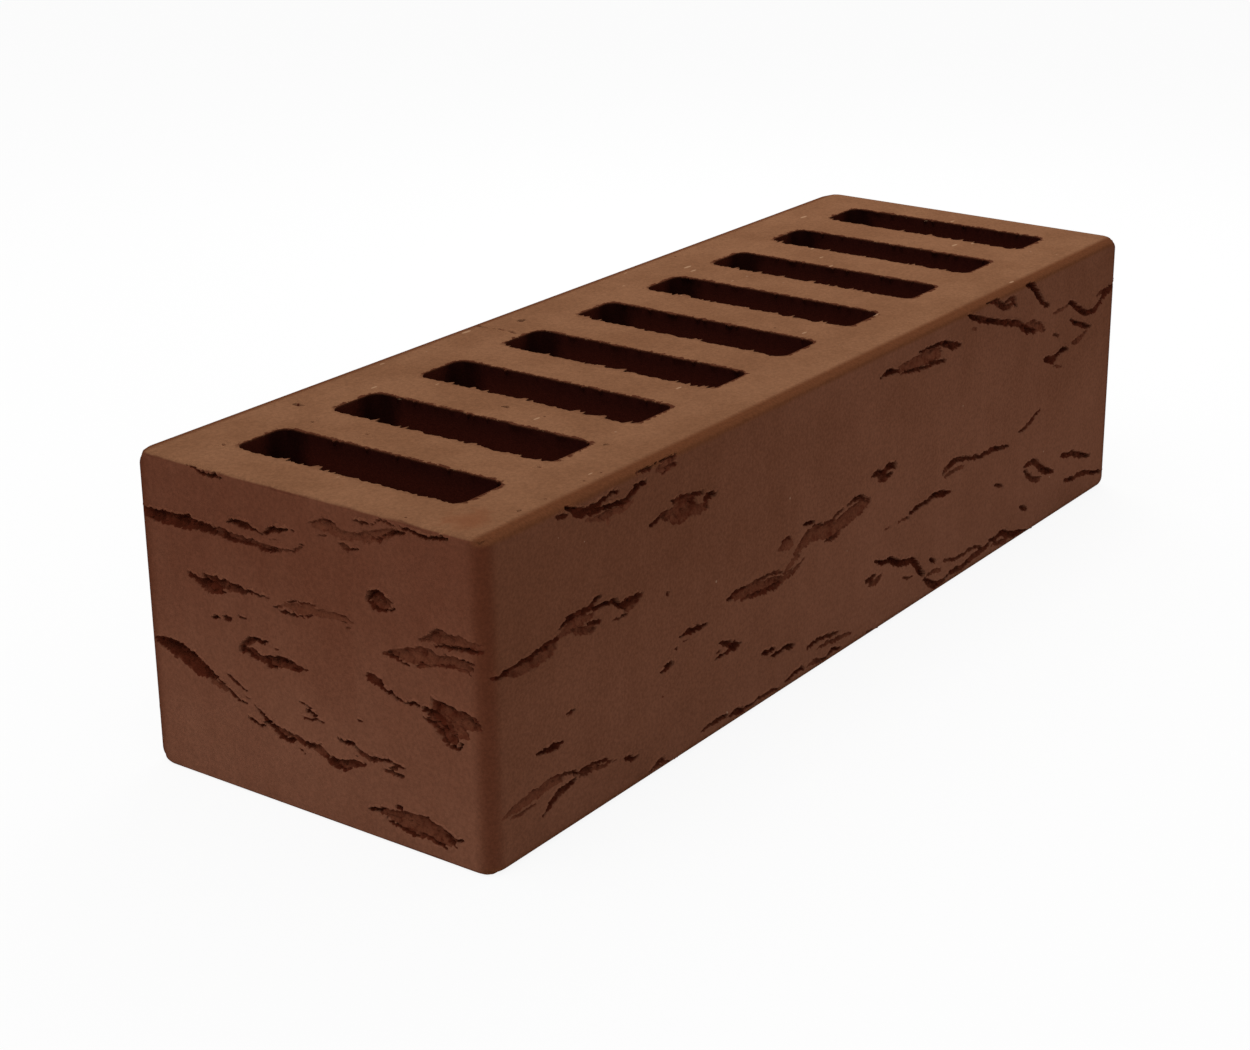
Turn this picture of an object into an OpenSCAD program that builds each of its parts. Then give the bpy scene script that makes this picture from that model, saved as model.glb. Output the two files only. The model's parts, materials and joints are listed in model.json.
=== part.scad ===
// Hollow facing brick of fired clay, lying on its bed with the slots upright.
// The clay column leaves the die with rounded upright corners and a row of slots through it,
// and a wire cuts it to height, which leaves two flat beds with eased edges.
// Origin: centre of the lower bed. X runs along the stretcher, Y across the header, Z up.

/* [Brick] */
// Length of the stretcher face, along X
brick_length = 250; // [200:1:300]
// Width of the header face, along Y
brick_width = 85; // [60:1:130]
// Height from the lower bed to the upper bed
brick_height = 65; // [40:1:140]

/* [Edges] */
// Radius of the four upright corners
corner_radius = 3; // [1:0.5:8]
// How far the eased stretcher edge reaches in over the bed
stretcher_ease_reach = 3; // [1:0.25:6]
// How far the eased stretcher edge drops down the stretcher face
stretcher_ease_drop = 1; // [0.25:0.25:4]
// How far the eased header edge reaches in over the bed
header_ease_reach = 1; // [0.25:0.25:4]
// How far the eased header edge drops down the header face
header_ease_drop = 0.75; // [0.25:0.25:4]

/* [Slots] */
// Number of slots in the row
slot_count = 9; // [3:1:12]
// Width of a slot, along the brick's length
slot_width = 14; // [8:0.5:17]
// Clay between the outer slots and the header faces
end_wall = 11.5; // [8:0.5:20]
// Clay between the slots and the stretcher faces
side_wall = 15; // [10:0.5:25]
// Radius of a slot's four upright corners
slot_corner_radius = 2.5; // [0.5:0.25:3.75]

/* [Hidden] */
// Segments of a full turn on every round corner
$fn = 64;
// How far a cutting shape runs past the face that it cuts
cut_overrun = 5;
slot_length = brick_width - 2 * side_wall;
slot_pitch = (brick_length - 2 * end_wall - slot_width) / (slot_count - 1);
first_slot_x = -brick_length / 2 + end_wall + slot_width / 2;

// Rectangle about the origin with four round corners
module rounded_rectangle(size_x, size_y, radius) {
    square([size_x - 2 * radius, size_y], center = true);
    square([size_x, size_y - 2 * radius], center = true);
    for (side_x = [-1, 1], side_y = [-1, 1])
        translate([side_x * (size_x / 2 - radius), side_y * (size_y / 2 - radius)])
            circle(r = radius);
}

// Upright section of the brick, standing on the origin, with its four edges eased
module eased_section(width, height, reach, drop) {
    half = width / 2;
    polygon([
        [-half + reach, 0], [half - reach, 0],
        [half, drop], [half, height - drop],
        [half - reach, height], [-half + reach, height],
        [-half, height - drop], [-half, drop]
    ]);
}

// The clay column as it leaves the die, without its slots
module column() {
    linear_extrude(brick_height)
        rounded_rectangle(brick_length, brick_width, corner_radius);
}

// The space under the two eased stretcher edges of each bed
module stretcher_easing() {
    run = brick_length + 2 * cut_overrun;
    rotate([90, 0, 90])
        translate([0, 0, -run / 2])
            linear_extrude(run)
                eased_section(brick_width, brick_height, stretcher_ease_reach, stretcher_ease_drop);
}

// The space under the two eased header edges of each bed
module header_easing() {
    run = brick_width + 2 * cut_overrun;
    rotate([90, 0, 0])
        translate([0, 0, -run / 2])
            linear_extrude(run)
                eased_section(brick_length, brick_height, header_ease_reach, header_ease_drop);
}

// One slot, cut right through both beds
module slot() {
    translate([0, 0, -cut_overrun])
        linear_extrude(brick_height + 2 * cut_overrun)
            rounded_rectangle(slot_width, slot_length, slot_corner_radius);
}

// The whole brick: one fired piece of clay
module brick() {
    color("#5c3427")
        difference() {
            intersection() {
                column();
                stretcher_easing();
                header_easing();
            }
            for (i = [0 : slot_count - 1])
                translate([first_slot_x + i * slot_pitch, 0, 0])
                    slot();
        }
}

brick();
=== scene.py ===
import json
import math

import bmesh
import bpy
from mathutils import Matrix, Vector


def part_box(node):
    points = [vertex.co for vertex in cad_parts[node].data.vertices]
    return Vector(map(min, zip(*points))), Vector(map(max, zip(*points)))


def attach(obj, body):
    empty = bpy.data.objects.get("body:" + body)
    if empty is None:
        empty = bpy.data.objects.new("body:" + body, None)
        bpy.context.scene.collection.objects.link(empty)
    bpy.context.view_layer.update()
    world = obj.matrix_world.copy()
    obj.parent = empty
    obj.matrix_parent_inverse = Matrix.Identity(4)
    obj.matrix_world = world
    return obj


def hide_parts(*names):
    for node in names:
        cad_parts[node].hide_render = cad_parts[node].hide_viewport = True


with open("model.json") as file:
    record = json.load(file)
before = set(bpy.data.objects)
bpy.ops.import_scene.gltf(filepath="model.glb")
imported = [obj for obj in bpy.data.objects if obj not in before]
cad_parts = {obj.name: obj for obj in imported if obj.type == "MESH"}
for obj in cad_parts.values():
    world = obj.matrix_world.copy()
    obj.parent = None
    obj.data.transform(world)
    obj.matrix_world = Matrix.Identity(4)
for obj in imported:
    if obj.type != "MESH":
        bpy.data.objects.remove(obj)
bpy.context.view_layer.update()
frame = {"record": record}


# The brick
# One block of red clay, pushed through a die whose tongues leave the row of slots and cut to height
# by a wire. Its faces are torn like bark while the clay is soft, and the fire turns it chocolate brown.
mm = 0.001
low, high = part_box("brick")
brick_length, brick_width, brick_height = high - low
corner_radius = 3 * mm
stretcher_ease = (3 * mm, 1 * mm)
header_ease = (1 * mm, 0.75 * mm)

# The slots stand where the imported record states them. It states them a little inside their clay walls.
slot_boxes = [stated["box_m"] for stated in frame["record"]["physics"]["openings"]]
stated_inset = 0.75 * mm
slot_corner = 2.5 * mm
slot_width = slot_boxes[0][1][0] - slot_boxes[0][0][0] + 2 * stated_inset
slot_length = slot_boxes[0][1][1] - slot_boxes[0][0][1] + 2 * stated_inset
first_slot_x = (slot_boxes[0][0][0] + slot_boxes[0][1][0]) / 2
slot_pitch = slot_boxes[1][0][0] - slot_boxes[0][0][0]

# Bark marks on the near header: the share of the full depth, then the points of the tear from left to right,
# each across from the left corner, down from the upper bed, and half the breadth, in mm.
header_tears = [
    (1, (0, 11.7, 0.6), (2.5, 12, 1), (6, 12.3, 1.4), (10, 12.1, 1.4), (14, 12, 1.3), (18, 12, 1),
     (20.4, 12, 0.7)),
    (0.85, (12.6, 11, 0.3), (13.8, 10.6, 0.6), (15, 10.9, 0.3)),
    (0.55, (19.5, 12.2, 0.7), (23, 12, 0.9), (26, 12.3, 0.8), (30, 12.4, 0.7), (34, 12.4, 0.6),
     (37.4, 12.3, 0.35)),
    (0.95, (22.4, 11.8, 0.3), (23.4, 12.6, 0.6), (25, 13, 0.4), (27, 12.9, 0.25)),
    (0.85, (27, 13, 0.2), (31, 13, 0.3), (34, 13.1, 0.35), (36.4, 12.8, 0.2)),
    (0.45, (36, 12, 0.2), (39, 11.7, 0.3), (41, 11.4, 0.35), (43, 10, 0.2)),
    (0.9, (24.3, 9.7, 0.2), (25.4, 9.1, 0.5), (27.4, 9.2, 0.75), (29.6, 9.2, 0.8), (30.8, 9.7, 0.35),
     (33, 9.9, 0.25)),
    (0.8, (33.2, 9.7, 0.25), (34.6, 8.9, 0.5), (36, 8.2, 0.45), (37.6, 8.2, 0.35), (39.4, 7.8, 0.3)),
    (0.35, (34.6, 10.6, 0.12), (37, 10.3, 0.15)),
    (0.6, (40.2, 8, 0.2), (40.9, 7.9, 0.2)),
    (0.3, (45.4, 5.2, 0.3), (49, 5.1, 1), (53, 5.6, 1), (57, 5.2, 0.8), (60.5, 4.2, 1.1), (63.5, 3, 1),
     (66.5, 2.2, 0.3)),
    (0.6, (44.4, 5.3, 0.15), (46.6, 4.3, 0.3), (49.4, 4, 0.35), (51.4, 4.6, 0.3)),
    (0.5, (52, 7.2, 0.6), (53, 8, 0.8), (54.6, 8, 0.5)),
    (0.75, (52.4, 8.6, 0.2), (53.6, 8.6, 0.35), (55, 8, 0.3), (56.4, 7.6, 0.2)),
    (0.35, (46.2, 7.2, 0.15), (48.6, 6.7, 0.2)),
    (0.8, (59.4, 4.9, 0.2), (61.6, 4.5, 0.35), (63.4, 3.4, 0.35), (65.4, 2.6, 0.4), (67.4, 2.1, 0.25)),
    (0.8, (55.2, 2.3, 0.2), (57.4, 2.4, 0.35), (58.8, 2, 0.35)),
    (0.6, (59.4, 2.3, 0.2), (62, 1.3, 0.3), (64, 1.1, 0.3), (65.4, 1.5, 0.2)),
    (0.95, (66.8, 1.3, 0.25), (69.5, 1.6, 0.4), (72.5, 1.8, 0.4), (75, 1.5, 0.4), (76.4, 1.1, 0.5),
     (77.3, 1.4, 0.25)),
    (0.9, (12.6, 0.1, 0.15), (15.5, 0.4, 0.2), (17, 0.8, 0.35), (19.5, 1.1, 0.4), (21.6, 1.1, 0.45),
     (23.2, 1.4, 0.25)),
    (0.95, (12.5, 22.5, 0.3), (14, 22.9, 0.6), (16, 23.4, 0.8), (18.4, 23.6, 1.2), (20.4, 24, 1),
     (22.6, 24.2, 0.25)),
    (0.7, (16.6, 22.2, 0.5), (19, 22.2, 0.8), (22, 22.4, 1.1), (25, 22.6, 1), (28, 22.6, 0.5)),
    (0.7, (16.6, 24.6, 0.3), (18.6, 24.9, 0.5), (20.6, 24.8, 0.4)),
    (0.9, (27.4, 22.5, 0.35), (29, 22.5, 0.25), (31.4, 22.7, 0.3), (33.8, 22.7, 0.15)),
    (0.2, (37, 23, 0.4), (41, 22.9, 0.9), (45, 22.6, 0.8), (50, 22.1, 0.5), (54, 22.4, 0.3)),
    (0.7, (38, 22.1, 0.12), (40.4, 21.8, 0.2), (45, 21.4, 0.22)),
    (0.65, (48.6, 21.7, 0.12), (51.4, 21.4, 0.22), (54.6, 22.4, 0.15)),
    (0.75, (34.5, 24, 0.2), (35.6, 24.2, 0.25), (38.4, 24.5, 0.28), (41.4, 24.2, 0.22), (45, 23.6, 0.15)),
    (0.5, (35.4, 23.7, 0.12), (37.6, 23.4, 0.15)),
    (0.4, (51.4, 22.6, 0.15), (52.6, 22.9, 0.2)),
    (0.4, (52.6, 23.8, 0.15), (53.6, 23.6, 0.2)),
    (0.9, (58.1, 17, 0.35), (58.6, 15.8, 0.7), (60, 15.3, 0.9), (61.6, 15.6, 0.8), (63, 15.9, 0.45),
     (64, 16.2, 0.15)),
    (0.95, (58, 16.9, 0.3), (58.9, 17.7, 0.45), (59.8, 18.3, 0.6), (61.2, 18.1, 0.35), (62.6, 17.9, 0.3),
     (64.2, 17.4, 0.15)),
    (0.55, (58.8, 16.6, 0.5), (60.2, 16.8, 1), (61.8, 16.8, 1), (63.4, 16.8, 0.5)),
    (0.42, (69.6, 21.9, 0.3), (72.4, 20.8, 0.8), (75.4, 20.1, 1.2), (79, 20, 1), (84.2, 20.1, 0.7)),
    (0.6, (69.6, 21.8, 0.2), (72, 20.8, 0.35), (73.6, 19.5, 0.4), (75.4, 19, 0.35), (78, 19.3, 0.3)),
    (0.8, (73.2, 22, 0.2), (76, 21.6, 0.35), (79.5, 21.4, 0.45), (82, 21.1, 0.4), (84.4, 21.1, 0.3)),
    (0.38, (60.8, 26.6, 0.25), (64, 26, 1), (68, 25.4, 1.5), (71, 24.8, 1.8), (75, 24.6, 1.1),
     (79, 24.3, 0.9), (82, 24.3, 0.6)),
    (0.75, (60.8, 26.6, 0.15), (62.6, 26.8, 0.3), (64.4, 27.3, 0.3), (67.2, 27.4, 0.2)),
    (0.65, (68.8, 27.1, 0.2), (70.4, 26.9, 0.3), (73, 26.1, 0.2), (76, 25.4, 0.2), (78.6, 25.2, 0.3),
     (81.6, 25.5, 0.25)),
    (0.85, (69.4, 26.4, 0.3), (70.7, 26.2, 0.4)),
    (0.65, (75, 23.5, 0.2), (77, 23.6, 0.3), (79.6, 23.3, 0.3), (82.4, 23.2, 0.2)),
    (0.5, (68.4, 24.5, 0.4), (69.6, 24.4, 0.4)),
    (0.75, (18.3, 29.9, 0.25), (19.4, 29.7, 0.45), (20.6, 29.4, 0.25)),
    (0.85, (21.4, 29.4, 0.4), (22.4, 29.3, 0.6), (23.4, 29, 0.3)),
    (0.8, (25.2, 28.4, 0.2), (26, 28.3, 0.3), (27, 28.3, 0.2)),
    (0.75, (25.6, 33.6, 0.3), (27.4, 32.8, 0.7), (29, 32.2, 0.6), (30.8, 31.8, 0.4), (33, 31.6, 0.25)),
    (0.7, (24.7, 34.8, 0.4), (26.6, 34.6, 0.9), (28.8, 34.9, 1), (30.4, 35.2, 0.8)),
    (0.85, (24.8, 35, 0.35), (26.4, 35.4, 0.4), (28.2, 35.8, 0.4), (29.8, 36, 0.3)),
    (0.72, (29.6, 35.4, 0.7), (32, 35.4, 1), (35, 35.1, 1.2), (38, 34.8, 1), (40, 34.9, 0.6),
     (42.6, 34.9, 0.12)),
    (0.9, (30, 34.7, 0.3), (31.2, 35.4, 0.4), (32.4, 36.3, 0.5), (34.6, 36.4, 0.35)),
    (0.9, (38, 35.6, 0.3), (39.2, 35.7, 0.45), (40.6, 35.4, 0.25)),
    (0.45, (34, 32.7, 0.2), (35.2, 32.5, 0.2)),
    (0.72, (2, 38.3, 0.4), (5, 38.6, 1.3), (9, 39.4, 1.9), (13, 40.9, 2), (16, 42, 1.4), (18.6, 42.4, 0.5)),
    (1, (1.7, 38.5, 0.35), (4.6, 39, 0.8), (8, 39.6, 1.2), (11, 40.7, 1.3), (14, 42, 1.1),
     (16.6, 42.8, 0.7), (18, 42.8, 0.3)),
    (0.9, (18, 42.2, 0.25), (20, 43.2, 0.4), (21.4, 44.4, 0.55), (23.4, 45.4, 0.4), (26.4, 46.2, 0.2)),
    (0.4, (16.4, 43.8, 0.4), (19, 44, 0.7), (21, 44.8, 0.5)),
    (0.75, (21.4, 40.9, 0.2), (23.2, 41.9, 0.35), (25, 42.7, 0.3), (26.6, 43.4, 0.15)),
    (0.55, (25.8, 44.8, 0.2), (27, 45.1, 0.2)),
    (0.85, (28.2, 45.6, 0.25), (29.4, 46.8, 0.4), (31, 47.6, 0.4), (32.6, 48, 0.2)),
    (0.9, (26.2, 48.6, 0.35), (27.6, 49, 0.5), (29, 49.4, 0.4), (30.6, 49.2, 0.25)),
    (0.9, (30, 48.4, 0.3), (32, 48.7, 0.55), (33.6, 49.8, 0.6), (35, 50.6, 0.7), (36.6, 50.8, 0.5),
     (38, 50.3, 0.25)),
    (0.5, (32.6, 48.6, 0.4), (35.6, 49.3, 0.6), (39, 49.9, 0.6), (42, 50.2, 0.6), (44.6, 50.6, 0.9),
     (46.4, 51.6, 0.9)),
    (0.75, (38, 50, 0.25), (40, 50.3, 0.45), (41.6, 50.7, 0.4), (43.4, 50, 0.3), (44.6, 49.2, 0.3)),
    (0.9, (45.6, 51.4, 0.3), (46.6, 52.1, 0.6), (48.2, 53, 0.4), (50, 52.8, 0.3), (52, 52, 0.25)),
    (0.6, (46.6, 51.8, 0.6), (49, 52, 1), (51.6, 51.4, 0.9), (54, 50.8, 0.6), (55.4, 50.6, 0.3)),
    (0.9, (53.4, 50.7, 0.3), (54.6, 50.6, 0.45), (55.5, 50.6, 0.25)),
    (0.6, (38.8, 51.7, 0.15), (40.6, 52.1, 0.25)),
    (0.7, (39.7, 42.1, 0.25), (41.2, 42, 0.3), (42.8, 42.5, 0.15)),
    (0.95, (41.4, 43.5, 0.3), (42.5, 43.4, 0.6), (43.8, 43.9, 0.35)),
    (0.7, (40.5, 44.8, 0.2), (42.2, 44.9, 0.3), (44, 44.4, 0.3), (45.8, 44.8, 0.12)),
    (0.9, (48.8, 46.7, 0.3), (50.6, 46.9, 0.45), (52.6, 47.1, 0.5), (54.6, 47.7, 0.45)),
    (0.6, (54, 48, 0.4), (56, 48.6, 0.6), (58.4, 48.6, 0.4)),
    (0.8, (57.2, 48.2, 0.3), (59, 48.1, 0.4), (61.4, 48.1, 0.4), (63, 48.5, 0.45), (65, 48.5, 0.25)),
    (0.6, (61, 49.4, 0.3), (63, 49.2, 0.3)),
    (0.65, (60.2, 50.1, 0.3), (62.4, 50.2, 0.5), (65, 50.4, 0.25)),
    (0.75, (56.6, 31.9, 0.4), (58, 32.4, 1), (59.6, 32.7, 0.9), (60.6, 33.4, 0.5)),
    (0.95, (59.6, 33.2, 0.4), (61.4, 33.8, 0.5), (63, 34.4, 0.45), (64.8, 35, 0.3), (66.6, 35.2, 0.2)),
    (0.9, (66.6, 35.1, 0.25), (67.8, 34.8, 0.45), (69.2, 34.8, 0.35)),
    (0.6, (72, 33.4, 0.8), (75, 34.4, 1.6), (78.4, 35, 1.7), (81, 35.2, 1.2), (83.2, 35.6, 0.6)),
    (0.65, (71.6, 35.6, 1.2), (74, 37.2, 1.7), (76.2, 38.8, 1.6), (77.6, 40.2, 1)),
    (0.5, (73.4, 35.6, 1), (76, 36.8, 1.5), (78.6, 37.6, 1.3), (80.6, 37.6, 0.6)),
    (1, (70, 34.9, 0.4), (71.4, 35.2, 0.8), (72.8, 36, 0.9), (74.2, 37.2, 0.8), (75.2, 38.4, 0.5)),
    (0.9, (72, 32.5, 0.3), (72.8, 33.2, 0.5), (73.4, 34.4, 0.5), (73, 35.4, 0.4)),
    (0.8, (70, 36.5, 0.25), (71.8, 37.6, 0.4), (73.6, 38.9, 0.45), (75, 40.4, 0.5), (76.6, 41.1, 0.4),
     (78.4, 40.6, 0.35), (79, 39.4, 0.25)),
    (0.65, (75.4, 32.8, 0.2), (77.4, 33.4, 0.3), (80, 33.6, 0.25), (81.6, 34, 0.35), (83, 35, 0.3)),
    (0.6, (79.6, 36.6, 0.2), (81.6, 36, 0.3), (83.4, 36.2, 0.25)),
    (0.4, (58, 58.8, 0.6), (62, 58.9, 1.2), (66, 59, 1.9), (70, 59.2, 2), (73, 59.6, 1.7), (76.4, 59.8, 1)),
    (0.95, (55.6, 59.3, 0.3), (57, 59, 0.55), (58.6, 58.6, 0.5), (60, 58.2, 0.25)),
    (0.85, (60.2, 60.2, 0.25), (62.6, 60.7, 0.35), (64.6, 61.2, 0.5), (67, 61.4, 0.55), (69.4, 61, 0.5),
     (71.6, 61.5, 0.5), (74.6, 61.8, 0.4)),
    (0.85, (62.4, 57, 0.35), (63.2, 56.5, 0.55), (64, 56.9, 0.35)),
    (0.6, (64.4, 57.2, 0.2), (66.4, 57.6, 0.3), (68.6, 57.2, 0.25), (70.6, 56.8, 0.2)),
    (0.85, (71.4, 57.8, 0.25), (73, 58.2, 0.4), (74.6, 58.8, 0.5), (76.4, 59.4, 0.5), (78.2, 59.2, 0.3)),
    (0.85, (73.6, 59.4, 0.3), (74.6, 59.8, 0.5), (76, 60.8, 0.4), (76.6, 61.2, 0.25)),
    (0.8, (54.3, 41.5, 0.25), (55.3, 41.5, 0.3)),
    (0.7, (53.5, 49.1, 0.25), (54, 49.2, 0.2)),
]

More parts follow.
